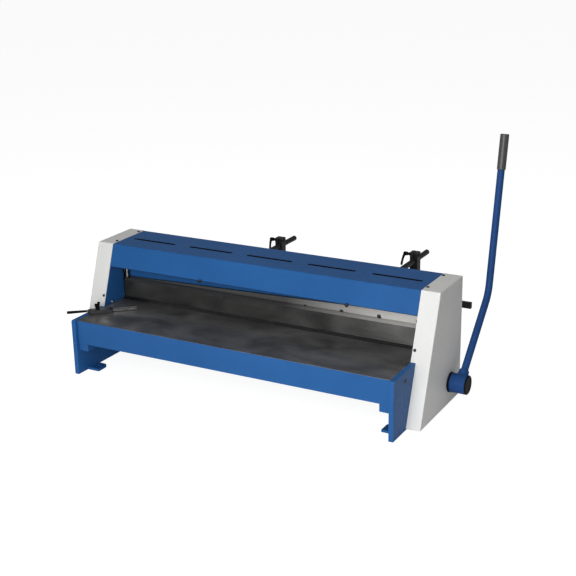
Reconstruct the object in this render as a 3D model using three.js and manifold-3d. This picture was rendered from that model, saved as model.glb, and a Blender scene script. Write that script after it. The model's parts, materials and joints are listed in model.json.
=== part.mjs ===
// Bench guillotine shear with a hand lever: frame, table, sprung hold-down, raked upper blade on a
// sliding beam, crank drive, back gauge on two rods and an angle gauge on the table.
// Millimetres. While the pieces are built, X = 0 is midway between the side plates, Y = 0 is the
// plates' front edge and Z = 0 is the bench. The last lines move the whole to its bottom centre.
import * as THREE from 'three';
import { mergeVertices } from 'three/addons/utils/BufferGeometryUtils.js';
import Module from 'manifold-3d';

const wasm = await Module();
wasm.setup();

// ---- Driving dimensions -----------------------------------------------------------------------
const gap = 0.3;
const halfWidth = 530;
const plateThick = 15;
const plateFrontTop = 179;
const plateTop = 368.3;
const plateRear = 387;
const outerX = halfWidth + plateThick;

// The covers' front flange leans back from the bench to the hood's front bend.
const slantFootY = 86.6;
const slantFootZ = 5.4;
const slantRatio = 0.356;
const slantY = (z) => slantFootY + slantRatio * (z - slantFootZ);
const coverOuterX = 588;
const coverTop = 370.8;
const coverRear = 389.5;
const coverBottom = 4;
const sheet = 2;

const tableTop = 178;
const apronBottom = 102;
const tableFront = 10;
const apronThick = 14;
const topThick = 18;
const bearerStartX = 496.7;
const tableBoltY = 79;
const tableBoltZ = 151;
const cutY = 270;
const bladeHalfLength = 525;
const bladeThick = 9.7;
const lowerBladeThick = 11.7;
const bladeClearance = 0.3;
const rake = 0.0284;
const bladeTopMiddle = 261.4;
const bladeHeight = 50;
const bladeTopAt = (x) => bladeTopMiddle + rake * x;
const bladeBoltPitch = 122;
const bladeBoltShift = 12;
const bladeBoltRadius = 6.5;

const beamFront = cutY + bladeClearance + bladeThick + gap;
const beamRear = 298;
const beamTop = 345;
const beamHalfLength = 519;
const tongueBottom = 285;
const tongueTop = 315;
const tongueEndX = 562;

const holdDownFront = 250;
const holdDownRear = 268;
const holdDownBottom = 186;
const holdDownTop = 247;
const holdDownHalfLength = 521;
const holdDownStudX = 514;
const holdDownStudY = 259;
const studRadius = 3.5;
const studHeadRadius = 7.5;

const windowFront = 260;
const windowRear = 304;
const windowBottom = 140;
const windowTop = 332;

const shaftY = 307;
const shaftZ = 70.5;
const shaftRadius = 17;
const bushRadius = 24;
const crankRadius = 42;
const crankRest = 37.5 * Math.PI / 180;
const crankPinRadius = 9;
const crankPinY = shaftY - crankRadius * Math.cos(crankRest);
const crankPinZ = shaftZ + crankRadius * Math.sin(crankRest);
const armStartX = 549;
const linkStartX = 564.3;
const linkEndX = 576;
const crankPinEndX = 580;
const beamPinY = (beamFront + beamRear) / 2;
const beamPinZ = (tongueBottom + tongueTop) / 2;
const beamPinRadius = 8;
// The link's upper eye stands at the middle of the crank pin's to-and-fro, and is bored oversize.
const crankPinMeanY = (crankPinY + shaftY - crankRadius) / 2;
const linkEyeY = beamPinY + crankPinY - crankPinMeanY;
const linkEyeRadius = 13.6;

const hubStartX = 594;
const hubEndX = 641;
const hubRadius = 28.5;
const leverX = 620;
const leverBend = new THREE.Vector3(leverX, 523, 280);
const leverTop = new THREE.Vector3(leverX, 614, 745);
const leverTubeRadius = 10.8;
const gripRadius = 13;
const gripLength = 104;

// The rods stand on the beam in line with the blade's rake, so the right one is higher.
const rodX = 258;
const rodZAt = (x) => 244.2 + rake * x;
const rodRadius = 9;
const rodEnd = 930;
const postY = 824;
const postSize = 28;
const postAboveRod = 30;
const postChamfer = 3;
const clampAboveRod = 19;
const stopFront = 650;
const stopThick = 12;
const stopBottom = 174;
const stopTop = 194;
const stopHalfLength = 521;

const gaugePivotX = -514;
const gaugePivotY = 95;
const gaugeAngle = 39.6 * Math.PI / 180;

// ---- Materials --------------------------------------------------------------------------------
const material = (color, roughness, metalness) => (
  () => new THREE.MeshStandardMaterial({ color, roughness, metalness }));
const bluePaint = material(0x3064a0, 0.45, 0.1);
const darkBluePaint = material(0x243a70, 0.4, 0.1);
const greyPaint = material(0xb9bab8, 0.5, 0.1);
const groundSteel = material(0x55585a, 0.35, 0.9);
const brightSteel = material(0xb8bcc0, 0.25, 1.0);
const blackSteel = material(0x1c1d1f, 0.5, 0.6);
const blackPlastic = material(0x141414, 0.55, 0.0);
const bronze = material(0x9a6b35, 0.35, 1.0);

const machine = new THREE.Group();

function add(name, geometry, makeMaterial, parent = machine) {
  const mesh = new THREE.Mesh(geometry, makeMaterial());
  mesh.name = name;
  parent.add(mesh);
  return mesh;
}

// ---- Shapes -----------------------------------------------------------------------------------
const acrossX = new THREE.Matrix4().makeBasis(
  new THREE.Vector3(0, 1, 0), new THREE.Vector3(0, 0, 1), new THREE.Vector3(1, 0, 0));
const acrossY = new THREE.Matrix4().makeBasis(
  new THREE.Vector3(1, 0, 0), new THREE.Vector3(0, 0, 1), new THREE.Vector3(0, -1, 0));

function outline(points) {
  return new THREE.Shape(points.map(([a, b]) => new THREE.Vector2(a, b)));
}

// A path as straight steps, with no point given twice.
function steps(path, curveSegments) {
  const apart = 0.001;
  const points = path.getPoints(curveSegments);
  return points.filter((p, i) => p.distanceTo(points[(i + 1) % points.length]) > apart);
}

function extrude(shape, depth, curveSegments) {
  const outer = steps(shape, curveSegments);
  if (THREE.ShapeUtils.isClockWise(outer)) outer.reverse();
  const flat = new THREE.Shape(outer);
  flat.holes = shape.holes.map((hole) => new THREE.Path(steps(hole, curveSegments)));
  return new THREE.ExtrudeGeometry(flat, { depth, bevelEnabled: false });
}

// A (Y, Z) outline made solid from x0 to x1.
function extrudeX(shape, x0, x1, curveSegments = 8) {
  return extrude(shape, x1 - x0, curveSegments).applyMatrix4(acrossX).translate(x0, 0, 0);
}

// An (X, Z) outline made solid from y0 to y1.
function extrudeY(shape, y0, y1, curveSegments = 8) {
  return extrude(shape, y1 - y0, curveSegments).applyMatrix4(acrossY).translate(0, y1, 0);
}

// An (X, Y) outline made solid from z0 to z1.
function extrudeZ(shape, z0, z1, curveSegments = 8) {
  return extrude(shape, z1 - z0, curveSegments).translate(0, 0, z0);
}

function block([x0, x1], [y0, y1], [z0, z1]) {
  const geometry = new THREE.BoxGeometry(x1 - x0, y1 - y0, z1 - z0);
  geometry.translate((x0 + x1) / 2, (y0 + y1) / 2, (z0 + z1) / 2);
  return geometry;
}

function cylinderX(x0, x1, y, z, radius, facets = 24) {
  const geometry = new THREE.CylinderGeometry(radius, radius, x1 - x0, facets);
  geometry.rotateZ(-Math.PI / 2);
  geometry.translate((x0 + x1) / 2, y, z);
  return geometry;
}

function cylinderY(x, y0, y1, z, radius, facets = 20) {
  const geometry = new THREE.CylinderGeometry(radius, radius, y1 - y0, facets);
  geometry.translate(x, (y0 + y1) / 2, z);
  return geometry;
}

function cylinderZ(x, y, z0, z1, radius, facets = 16) {
  const geometry = new THREE.CylinderGeometry(radius, radius, z1 - z0, facets);
  geometry.rotateX(Math.PI / 2);
  geometry.translate(x, y, (z0 + z1) / 2);
  return geometry;
}

// The flats of the hole, not its corners, stand at the radius, so that a round pin clears them.
function roundHole(a, b, radius, facets = 24) {
  const reach = radius / Math.cos(Math.PI / facets);
  const points = Array.from({ length: facets }, (_, i) => {
    const angle = 2 * Math.PI * i / facets;
    return new THREE.Vector2(a + reach * Math.cos(angle), b + reach * Math.sin(angle));
  });
  return new THREE.Path(points);
}

function ringX(x0, x1, y, z, innerRadius, outerRadius, facets = 28) {
  const shape = new THREE.Shape();
  shape.absarc(y, z, outerRadius, 0, 2 * Math.PI, false);
  shape.holes.push(roundHole(y, z, innerRadius, facets));
  return extrudeX(shape, x0, x1, facets / 2);
}

function boxHole(a0, a1, b0, b1) {
  const hole = new THREE.Path();
  hole.moveTo(a0, b0);
  hole.lineTo(a0, b1);
  hole.lineTo(a1, b1);
  hole.lineTo(a1, b0);
  hole.closePath();
  return hole;
}

// The outline around two round eyes, as of a crank arm.
function twoEyes(a, radiusA, b, radiusB) {
  const distance = Math.hypot(b[0] - a[0], b[1] - a[1]);
  const along = Math.atan2(b[1] - a[1], b[0] - a[0]);
  const tangent = Math.acos((radiusA - radiusB) / distance);
  const shape = new THREE.Shape();
  shape.absarc(a[0], a[1], radiusA, along + tangent, along + 2 * Math.PI - tangent, false);
  shape.absarc(b[0], b[1], radiusB, along - tangent, along + tangent, false);
  shape.closePath();
  return shape;
}

// Two round eyes with a straight shank between them, narrower than either eye.
function waistedLink(a, radiusA, b, radiusB, shankHalf) {
  const along = Math.atan2(b[1] - a[1], b[0] - a[0]);
  const neckA = Math.asin(shankHalf / radiusA);
  const neckB = Math.asin(shankHalf / radiusB);
  const shape = new THREE.Shape();
  shape.absarc(a[0], a[1], radiusA, along + neckA, along + 2 * Math.PI - neckA, false);
  shape.absarc(b[0], b[1], radiusB, along + Math.PI + neckB, along + 3 * Math.PI - neckB, false);
  shape.closePath();
  return shape;
}

// The closed section of a folded sheet: its outer line and the same line set in by the thickness.
function foldedSheet(points, thickness) {
  const inner = points.map((point, i) => {
    const before = points[Math.max(i - 1, 0)];
    const after = points[Math.min(i + 1, points.length - 1)];
    const directions = [[before, point], [point, after]]
      .filter(([p, q]) => p !== q)
      .map(([p, q]) => new THREE.Vector2(q[0] - p[0], q[1] - p[1]).normalize());
    const normals = directions.map((d) => new THREE.Vector2(d.y, -d.x));
    const mitre = normals[0].clone().add(normals[normals.length - 1]).normalize();
    const reach = thickness / mitre.dot(normals[0]);
    return [point[0] + mitre.x * reach, point[1] + mitre.y * reach];
  });
  return outline([...points, ...inner.reverse()]);
}

function tubeAlong(curve, radius, facets, lengths) {
  const circle = new THREE.Shape();
  circle.absarc(0, 0, radius, 0, 2 * Math.PI, false);
  const section = new THREE.Shape(steps(circle, facets / 2));
  return new THREE.ExtrudeGeometry(
    section, { steps: lengths, bevelEnabled: false, extrudePath: curve });
}

class Helix extends THREE.Curve {
  constructor(x, y, z0, z1, radius, turns) {
    super();
    Object.assign(this, { x, y, z0, z1, radius, turns });
  }

  getPoint(t, target = new THREE.Vector3()) {
    const angle = t * this.turns * 2 * Math.PI;
    return target.set(
      this.x + this.radius * Math.cos(angle),
      this.y + this.radius * Math.sin(angle),
      this.z0 + t * (this.z1 - this.z0));
  }
}

function coilSpring(x, y, z0, z1, radius, wire, turns) {
  const margin = 1.3 * wire;
  return tubeAlong(new Helix(x, y, z0 + margin, z1 - margin, radius, turns), wire, 6, 8 * turns);
}

// ---- Joins and cuts ---------------------------------------------------------------------------
function toManifold(geometry) {
  const bare = geometry.clone();
  bare.deleteAttribute('normal');
  bare.deleteAttribute('uv');
  const merged = mergeVertices(bare, 1e-4);
  return new wasm.Manifold(new wasm.Mesh({
    numProp: 3,
    vertProperties: new Float32Array(merged.attributes.position.array),
    triVerts: new Uint32Array(merged.index.array),
  }));
}

function fromManifold(body) {
  const mesh = body.getMesh();
  const geometry = new THREE.BufferGeometry();
  geometry.setAttribute('position', new THREE.BufferAttribute(mesh.vertProperties, 3));
  geometry.setIndex(new THREE.BufferAttribute(mesh.triVerts, 1));
  geometry.computeVertexNormals();
  return geometry;
}

function join(...geometries) {
  return fromManifold(geometries.map(toManifold).reduce((a, b) => a.add(b)));
}

function cut(geometry, ...tools) {
  return fromManifold(tools.map(toManifold).reduce((a, b) => a.subtract(b), toManifold(geometry)));
}

const sides = [['left', -1], ['right', 1]];
const span = (side, a, b) => [Math.min(side * a, side * b), Math.max(side * a, side * b)];

// ---- Frame ------------------------------------------------------------------------------------
function sidePlate() {
  const behindFlange = 2.6;
  const corner = 6;
  const shape = new THREE.Shape();
  shape.moveTo(0, 0);
  shape.lineTo(0, plateFrontTop - corner);
  shape.absarc(corner, plateFrontTop - corner, corner, Math.PI, Math.PI / 2, true);
  shape.lineTo(slantY(plateFrontTop) + behindFlange, plateFrontTop);
  shape.lineTo(slantY(plateTop) + behindFlange, plateTop);
  shape.lineTo(plateRear, plateTop);
  shape.lineTo(plateRear, 0);
  shape.closePath();
  shape.holes.push(boxHole(windowFront, windowRear, windowBottom, windowTop));
  shape.holes.push(roundHole(shaftY, shaftZ, bushRadius + gap));
  return shape;
}

function footTab(side, y0, y1, roundAtRear) {
  const reach = 42;
  const corner = 14;
  const thick = 8;
  const boltRadius = 5.5;
  const inner = halfWidth - reach;
  const outer = halfWidth - gap;
  const middleX = (inner + outer) / 2 - 2;
  const middleY = (y0 + y1) / 2;
  const near = roundAtRear ? y1 : y0;
  const far = roundAtRear ? y0 : y1;
  const turn = roundAtRear ? 1 : -1;
  const points = [[outer, far], [inner, far]];
  for (let i = 0; i <= 4; i += 1) {
    const angle = i * Math.PI / 8;
    points.push([
      inner + corner * (1 - Math.cos(angle)),
      near - turn * corner * (1 - Math.sin(angle)),
    ]);
  }
  points.push([outer, near]);
  const shape = outline(points.map(([x, y]) => [side * x, y]));
  shape.holes.push(roundHole(side * middleX, middleY, boltRadius, 16));
  return extrudeZ(shape, 0, thick);
}

for (const [label, side] of sides) {
  const [x0, x1] = span(side, halfWidth, outerX);
  add(`side_plate_${label}`, extrudeX(sidePlate(), x0, x1), bluePaint);
  add(`foot_tab_front_${label}`, footTab(side, 46.5, 95, true), bluePaint);
  add(`foot_tab_rear_${label}`, footTab(side, 296, 344.5, false), bluePaint);
}

// ---- Table ------------------------------------------------------------------------------------
function tableCasting() {
  const end = halfWidth - gap;
  const apronRear = tableFront + apronThick;
  const underTop = tableTop - topThick;
  const webFront = 237;
  const webRear = 257.7;
  const webBottom = 120;
  const ribPitch = 265;
  const ribHalf = 6;
  const section = outline([
    [tableFront, apronBottom], [apronRear, apronBottom], [apronRear, underTop],
    [webFront, underTop], [webFront, webBottom], [webRear, webBottom],
    [webRear, tableTop], [tableFront, tableTop]]);
  const ribs = [-ribPitch, 0, ribPitch].map((x) => block(
    [x - ribHalf, x + ribHalf], [apronRear - 1, webFront + 1], [webBottom, underTop + 1]));
  return join(extrudeX(section, -end, end), ...ribs);
}
add('table_casting', tableCasting(), groundSteel);

for (const [label, side] of sides) {
  const bearer = block(
    span(side, bearerStartX, halfWidth - gap), [12, 240], [77.7, apronBottom - gap]);
  add(`table_bearer_${label}`, bearer, bluePaint);
  const headRadius = 6.2;
  const bolt = cylinderX(
    ...span(side, outerX + gap, outerX + 4.3), tableBoltY, tableBoltZ, headRadius, 6);
  add(`table_bolt_${label}`, bolt, blackSteel);
}

// ---- Blades -----------------------------------------------------------------------------------
const bladeBoltX = [-4, -3, -2, -1, 0, 1, 2, 3, 4].map((i) => bladeBoltShift + i * bladeBoltPitch);

function lowerBlade() {
  const height = 40;
  const bottom = tableTop - height;
  const shape = outline([
    [-bladeHalfLength, bottom], [bladeHalfLength, bottom],
    [bladeHalfLength, tableTop], [-bladeHalfLength, tableTop]]);
  bladeBoltX.forEach((x) => {
    shape.holes.push(roundHole(x, bottom + height / 2, bladeBoltRadius + gap, 12));
  });
  const rear = cutY - bladeClearance;
  return extrudeY(shape, rear - lowerBladeThick, rear, 6);
}
add('lower_blade', lowerBlade(), brightSteel);

const bladeBoltDrop = 22;

function upperBlade() {
  const shape = outline([
    [-bladeHalfLength, bladeTopAt(-bladeHalfLength) - bladeHeight],
    [bladeHalfLength, bladeTopAt(bladeHalfLength) - bladeHeight],
    [bladeHalfLength, bladeTopAt(bladeHalfLength)],
    [-bladeHalfLength, bladeTopAt(-bladeHalfLength)]]);
  bladeBoltX.forEach((x) => {
    shape.holes.push(roundHole(x, bladeTopAt(x) - bladeBoltDrop, bladeBoltRadius + gap, 12));
  });
  const front = cutY + bladeClearance;
  return extrudeY(shape, front, front + bladeThick, 6);
}
add('upper_blade', upperBlade(), brightSteel);

// ---- Blade beam -------------------------------------------------------------------------------
function bladeBeam() {
  const bottomAt = (x) => bladeTopAt(x) - bladeHeight + 8;
  const web = outline([
    [-beamHalfLength, bottomAt(-beamHalfLength)],
    [beamHalfLength, bottomAt(beamHalfLength)],
    [beamHalfLength, tongueBottom], [tongueEndX, tongueBottom],
    [tongueEndX, tongueTop], [beamHalfLength, tongueTop],
    [beamHalfLength, beamTop], [-beamHalfLength, beamTop],
    [-beamHalfLength, tongueTop], [-tongueEndX, tongueTop],
    [-tongueEndX, tongueBottom], [-beamHalfLength, tongueBottom]]);
  const rib = block([-500, 500], [beamRear - 1, 335], [beamTop - 14, beamTop]);
  return join(extrudeY(web, beamFront, beamRear), rib);
}
add('blade_beam', bladeBeam(), bluePaint);
for (const [label, side] of sides) {
  const pin = cylinderX(...span(side, tongueEndX + gap, 579), beamPinY, beamPinZ, beamPinRadius, 20);
  add(`beam_pin_${label}`, pin, brightSteel);
}

// ---- Hold-down --------------------------------------------------------------------------------
const holdDownSection = outline([
  [holdDownFront, holdDownBottom], [holdDownRear, holdDownBottom],
  [holdDownRear, holdDownTop], [holdDownRear - 6, holdDownTop],
  [holdDownFront, holdDownTop - 6]]);
add('hold_down_bar', extrudeX(holdDownSection, -holdDownHalfLength, holdDownHalfLength), groundSteel);

const housingHalf = 11;
const housingFront = 240;
const housingBottom = 296;
const housingTop = 366;
const housingWall = 4;
const studHeadThick = 5;
const studHeadTop = 307;
for (const [label, side] of sides) {
  const x = side * holdDownStudX;
  const roof = housingTop - housingWall;
  const housing = cut(
    block([x - housingHalf, x + housingHalf], [housingFront, beamFront - gap],
      [housingBottom, housingTop]),
    cylinderZ(x, holdDownStudY, housingBottom + housingWall, roof, studHeadRadius + 1, 20),
    cylinderZ(x, holdDownStudY, housingBottom - 1, housingBottom + housingWall + 1,
      studRadius + 0.7));
  add(`hold_down_housing_${label}`, housing, darkBluePaint);
  const stud = join(
    cylinderZ(x, holdDownStudY, holdDownTop + gap, studHeadTop - 1, studRadius),
    cylinderZ(x, holdDownStudY, studHeadTop - studHeadThick, studHeadTop, studHeadRadius));
  add(`hold_down_stud_${label}`, stud, brightSteel);
  const spring = coilSpring(x, holdDownStudY, studHeadTop, roof - gap, 6.4, 0.9, 5.5);
  add(`hold_down_spring_${label}`, spring, blackSteel);
}

// ---- Guides and return springs ----------------------------------------------------------------
for (const [label, side] of sides) {
  const frontGib = block(
    span(side, bladeHalfLength + 2 * gap, halfWidth - gap),
    [cutY + gap + 0.1, beamFront - gap], [120, 352]);
  add(`front_gib_${label}`, frontGib, blackSteel);
  const springX = side * (halfWidth + plateThick / 2);
  add(`return_spring_${label}`,
    coilSpring(springX, beamPinY, windowBottom, tongueBottom, 5.5, 1.2, 9), blackSteel);
}

// ---- Drive ------------------------------------------------------------------------------------
add('main_shaft', cylinderX(-tongueEndX, hubEndX - 1, shaftY, shaftZ, shaftRadius, 28), brightSteel);
for (const [label, side] of sides) {
  const bushSpan = span(side, halfWidth - 4, outerX + 3.5);
  add(`shaft_bush_${label}`,
    ringX(...bushSpan, shaftY, shaftZ, shaftRadius + gap, bushRadius), bronze);

  const arm = twoEyes([shaftY, shaftZ], 30, [crankPinY, crankPinZ], 17);
  arm.holes.push(roundHole(shaftY, shaftZ, shaftRadius + gap));
  arm.holes.push(roundHole(crankPinY, crankPinZ, crankPinRadius + gap));
  add(`crank_arm_${label}`, extrudeX(arm, ...span(side, armStartX, tongueEndX), 7), blackSteel);

  const pin = cylinderX(
    ...span(side, armStartX, crankPinEndX), crankPinY, crankPinZ, crankPinRadius, 20);
  add(`crank_pin_${label}`, pin, brightSteel);

  const link = waistedLink(
    [linkEyeY, beamPinZ], linkEyeRadius + 8, [crankPinY, crankPinZ], 15.5, 10.5);
  link.holes.push(roundHole(crankPinY, crankPinZ, crankPinRadius + gap));
  link.holes.push(roundHole(linkEyeY, beamPinZ, linkEyeRadius));
  add(`link_${label}`, extrudeX(link, ...span(side, linkStartX, linkEndX), 7), blackSteel);
}

add('hub_spacer', ringX(
  coverOuterX + 0.6, hubStartX - 0.4, shaftY, shaftZ, shaftRadius + gap, 30), blackPlastic);

const direction = (from, to) => to.clone().sub(from).normalize();
const hubCentre = new THREE.Vector3(leverX, shaftY, shaftZ);
const lowerRun = direction(hubCentre, leverBend);
const upperRun = direction(leverBend, leverTop);
const socketEnd = 42;

function leverHub() {
  const socketStart = 20;
  const socketRadius = 15;
  const socket = new THREE.CylinderGeometry(
    socketRadius, socketRadius, socketEnd - socketStart, 20);
  socket.applyQuaternion(new THREE.Quaternion().setFromUnitVectors(
    new THREE.Vector3(0, 1, 0), lowerRun));
  const middle = hubCentre.clone().addScaledVector(lowerRun, (socketEnd + socketStart) / 2);
  socket.translate(middle.x, middle.y, middle.z);
  return join(
    ringX(hubStartX, hubEndX, shaftY, shaftZ, shaftRadius + gap, hubRadius), socket);
}
add('lever_hub', leverHub(), darkBluePaint);
add('hub_end_cap', cylinderX(hubEndX + gap, hubEndX + 4, shaftY, shaftZ, 28.7, 28), blackPlastic);

function leverTube() {
  const trim = 31;
  const tubeEnd = leverTop.clone().addScaledVector(upperRun, -3.3);
  const bendStart = leverBend.clone().addScaledVector(lowerRun, -trim);
  const bendEnd = leverBend.clone().addScaledVector(upperRun, trim);
  const route = new THREE.CurvePath();
  const start = hubCentre.clone().addScaledVector(lowerRun, socketEnd + gap);
  route.add(new THREE.LineCurve3(start, bendStart));
  route.add(new THREE.QuadraticBezierCurve3(bendStart, leverBend, bendEnd));
  route.add(new THREE.LineCurve3(bendEnd, tubeEnd));
  return tubeAlong(route, leverTubeRadius, 14, 28);
}
add('lever_tube', leverTube(), darkBluePaint);

function leverGrip() {
  const bore = leverTubeRadius + 0.4;
  const wall = 3;
  const chamfer = 2;
  const profile = [
    [0, -wall], [bore, -wall], [bore, -gripLength], [gripRadius, -gripLength],
    [gripRadius, -chamfer], [gripRadius - chamfer, 0], [0, 0]];
  const grip = new THREE.LatheGeometry(profile.map(([r, h]) => new THREE.Vector2(r, h)), 20);
  grip.applyQuaternion(new THREE.Quaternion().setFromUnitVectors(
    new THREE.Vector3(0, 1, 0), upperRun));
  grip.translate(leverTop.x, leverTop.y, leverTop.z);
  return grip;
}
add('lever_grip', leverGrip(), blackPlastic);

// ---- Covers and hood --------------------------------------------------------------------------
function coverOutline(inset) {
  const lean = inset * Math.hypot(1, slantRatio);
  const bottom = coverBottom + inset;
  const top = coverTop - inset;
  return outline([
    [slantY(bottom) + lean, bottom], [coverRear - inset, bottom],
    [coverRear - inset, top], [slantY(top) + lean, top]]);
}

function sideCover(side) {
  const shell = extrudeX(coverOutline(0), ...span(side, halfWidth + gap, coverOuterX));
  const inside = extrudeX(coverOutline(sheet), ...span(side, halfWidth - 5, coverOuterX - sheet));
  const besidePlate = block(
    span(side, halfWidth - 5, outerX + gap), [-10, plateRear + gap], [-10, plateFrontTop + gap]);
  const tools = [inside, besidePlate];
  if (side > 0) {
    tools.push(cylinderX(coverOuterX - 5, coverOuterX + 5, shaftY, shaftZ, 20, 24));
  }
  return cut(shell, ...tools);
}

for (const [label, side] of sides) {
  add(`side_cover_${label}`, sideCover(side), greyPaint);
}

const hoodBottom = 300;
const hoodTop = 370;
const hoodRear = 389;
const hoodRearDrop = 62;
function hood() {
  const end = halfWidth - gap;
  const lip = 10;
  const section = foldedSheet([
    [slantY(hoodBottom) + lip, hoodBottom], [slantY(hoodBottom), hoodBottom],
    [slantY(hoodTop), hoodTop], [hoodRear, hoodTop],
    [hoodRear, hoodTop - hoodRearDrop]], sheet);
  const slotHalf = 79.5;
  const slotPitch = 211.5;
  const slotY = 295;
  const slotHalfWidth = 6.3;
  const slots = [-2, -1, 0, 1, 2].map((i) => block(
    [i * slotPitch - slotHalf, i * slotPitch + slotHalf],
    [slotY - slotHalfWidth, slotY + slotHalfWidth], [hoodTop - 5, hoodTop + 5]));
  return cut(extrudeX(section, -end, end), ...slots);
}
add('hood', hood(), bluePaint);

// The hood's lower edge is caught behind the heads of two bolts.
function hoodBolt(x) {
  const radius = 6.3;
  const thick = 4;
  const head = new THREE.CylinderGeometry(radius, radius, thick, 12);
  const normal = new THREE.Vector3(0, -1, slantRatio).normalize();
  head.applyQuaternion(new THREE.Quaternion().setFromUnitVectors(
    new THREE.Vector3(0, 1, 0), normal));
  const z = hoodBottom + 0.5;
  const centre = new THREE.Vector3(x, slantY(z), z).addScaledVector(normal, gap + thick / 2);
  return head.translate(centre.x, centre.y, centre.z);
}
add('hood_bolt_left', hoodBolt(-188), blackSteel);
add('hood_bolt_right', hoodBolt(312), blackSteel);
add('rear_tie_bar', block([gap - halfWidth, halfWidth - gap], [348, 376], [20, 48]), darkBluePaint);

// ---- Back gauge -------------------------------------------------------------------------------
function gaugeBracket(x) {
  const half = postSize / 2;
  const rodZ = rodZAt(x);
  const postTop = rodZ + postAboveRod;
  const front = stopFront + stopThick + gap;
  const profile = outline([
    [front, stopBottom], [postY + half, stopBottom], [postY + half, postTop - postChamfer],
    [postY + half - postChamfer, postTop], [postY - half + postChamfer, postTop],
    [postY - half, postTop - postChamfer],
    [postY - half, stopTop], [front, stopTop]]);
  return cut(
    extrudeX(profile, x - half, x + half),
    cylinderY(x, postY - 20, postY + 20, rodZ, rodRadius + gap, 20),
    block([x - 1, x + 1], [postY - 20, postY + 20], [rodZ, postTop + 5]));
}

function clampLever(x, lean) {
  const clampZ = rodZAt(x) + clampAboveRod;
  const face = x - postSize / 2 - gap;
  const bossEnd = face - 28;
  const bossRadius = 6.5;
  const length = 41;
  const handleRadius = 3.7;
  const root = new THREE.Vector3(bossEnd + 5, postY, clampZ);
  const tip = new THREE.Vector3(
    bossEnd - 1, postY - length * Math.sin(lean), clampZ - length * Math.cos(lean));
  return join(
    cylinderX(bossEnd, face, postY, clampZ, bossRadius, 14),
    tubeAlong(new THREE.LineCurve3(root, tip), handleRadius, 8, 1));
}

const clampLean = { left: 0, right: 0.36 };
for (const [label, side] of sides) {
  const x = side * rodX;
  const rod = cylinderY(x, beamRear + gap, rodEnd, rodZAt(x), rodRadius, 20);
  add(`gauge_rod_${label}`, rod, blackSteel);
  add(`gauge_bracket_${label}`, gaugeBracket(x), blackSteel);
  add(`clamp_lever_${label}`, clampLever(x, clampLean[label]), blackPlastic);
}
add('stop_bar', block(
  [-stopHalfLength, stopHalfLength], [stopFront, stopFront + stopThick], [stopBottom, stopTop]),
blackSteel);

// ---- Angle gauge ------------------------------------------------------------------------------
add('angle_gauge_stud', join(
  cylinderZ(gaugePivotX, gaugePivotY, tableTop + gap, tableTop + 1.1, 11, 20),
  cylinderZ(gaugePivotX, gaugePivotY, tableTop + 0.6, tableTop + 20, 4, 14)), brightSteel);

const angleGauge = new THREE.Group();
angleGauge.position.set(gaugePivotX, gaugePivotY, 0);
angleGauge.rotation.z = gaugeAngle;
machine.add(angleGauge);

const gaugeBottom = tableTop + 1.4;
const gaugeTop = tableTop + 12;
add('angle_gauge_body', cut(
  block([-32, 46], [-15, 9], [gaugeBottom, gaugeTop]),
  cylinderZ(0, 0, gaugeBottom - 1, gaugeTop + 1, 4.4, 14)), blackSteel, angleGauge);
add('angle_gauge_bar', block([46.3, 123.3], [-5, 4], [gaugeBottom, tableTop + 14]),
  brightSteel, angleGauge);

function gaugeHandle() {
  const handle = new THREE.CylinderGeometry(3.6, 4.6, 64, 12);
  handle.rotateZ(-Math.PI / 2);
  handle.translate(-32.3 - 32, 0, tableTop + 8);
  return handle;
}
add('angle_gauge_handle', gaugeHandle(), blackPlastic, angleGauge);

const knobRest = Math.PI / 3;
function gaugeKnob() {
  const stem = cylinderZ(0, 0, gaugeTop + gap, gaugeTop + 12, 7, 16);
  const wings = block([-12, 12], [-3, 3], [gaugeTop + 8, gaugeTop + 21]);
  wings.rotateZ(knobRest);
  return cut(join(stem, wings), cylinderZ(0, 0, gaugeTop - 1, tableTop + 21, 4.4, 14));
}
add('angle_gauge_knob', gaugeKnob(), blackPlastic, angleGauge);

// ---- Origin at the middle of the footprint, on the bench ---------------------------------------
const bounds = new THREE.Box3().setFromObject(machine, true);
machine.position.set(
  -(bounds.min.x + bounds.max.x) / 2, -(bounds.min.y + bounds.max.y) / 2, -bounds.min.z);

const assembly = new THREE.Group();
assembly.add(machine);
export default assembly;
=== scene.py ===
"""Looks of a bench guillotine shear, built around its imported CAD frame.

Shapes are made in millimetres in the machine's own axes: X = 0 midway between the side plates,
Y = 0 at the plates' front edge and Z = 0 on the bench. piece() carries them to the frame.
"""

import json
import math

import bmesh
import bpy
from mathutils import Matrix, Vector
from mathutils.geometry import tessellate_polygon

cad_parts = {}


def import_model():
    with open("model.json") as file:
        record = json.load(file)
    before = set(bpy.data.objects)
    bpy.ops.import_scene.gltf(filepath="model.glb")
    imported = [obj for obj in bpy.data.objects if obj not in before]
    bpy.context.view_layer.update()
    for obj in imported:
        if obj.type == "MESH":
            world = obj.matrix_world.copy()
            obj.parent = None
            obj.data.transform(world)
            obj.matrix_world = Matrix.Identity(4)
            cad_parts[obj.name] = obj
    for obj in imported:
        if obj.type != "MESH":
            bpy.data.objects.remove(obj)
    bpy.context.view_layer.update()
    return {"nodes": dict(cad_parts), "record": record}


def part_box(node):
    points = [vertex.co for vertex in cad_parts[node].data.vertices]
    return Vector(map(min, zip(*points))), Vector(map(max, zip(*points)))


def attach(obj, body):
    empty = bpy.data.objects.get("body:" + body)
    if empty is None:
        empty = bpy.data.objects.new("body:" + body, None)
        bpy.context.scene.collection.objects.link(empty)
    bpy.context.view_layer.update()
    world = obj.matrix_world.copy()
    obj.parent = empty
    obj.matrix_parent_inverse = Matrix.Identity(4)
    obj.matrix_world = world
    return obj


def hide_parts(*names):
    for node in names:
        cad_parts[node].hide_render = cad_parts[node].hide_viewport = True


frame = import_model()

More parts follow.
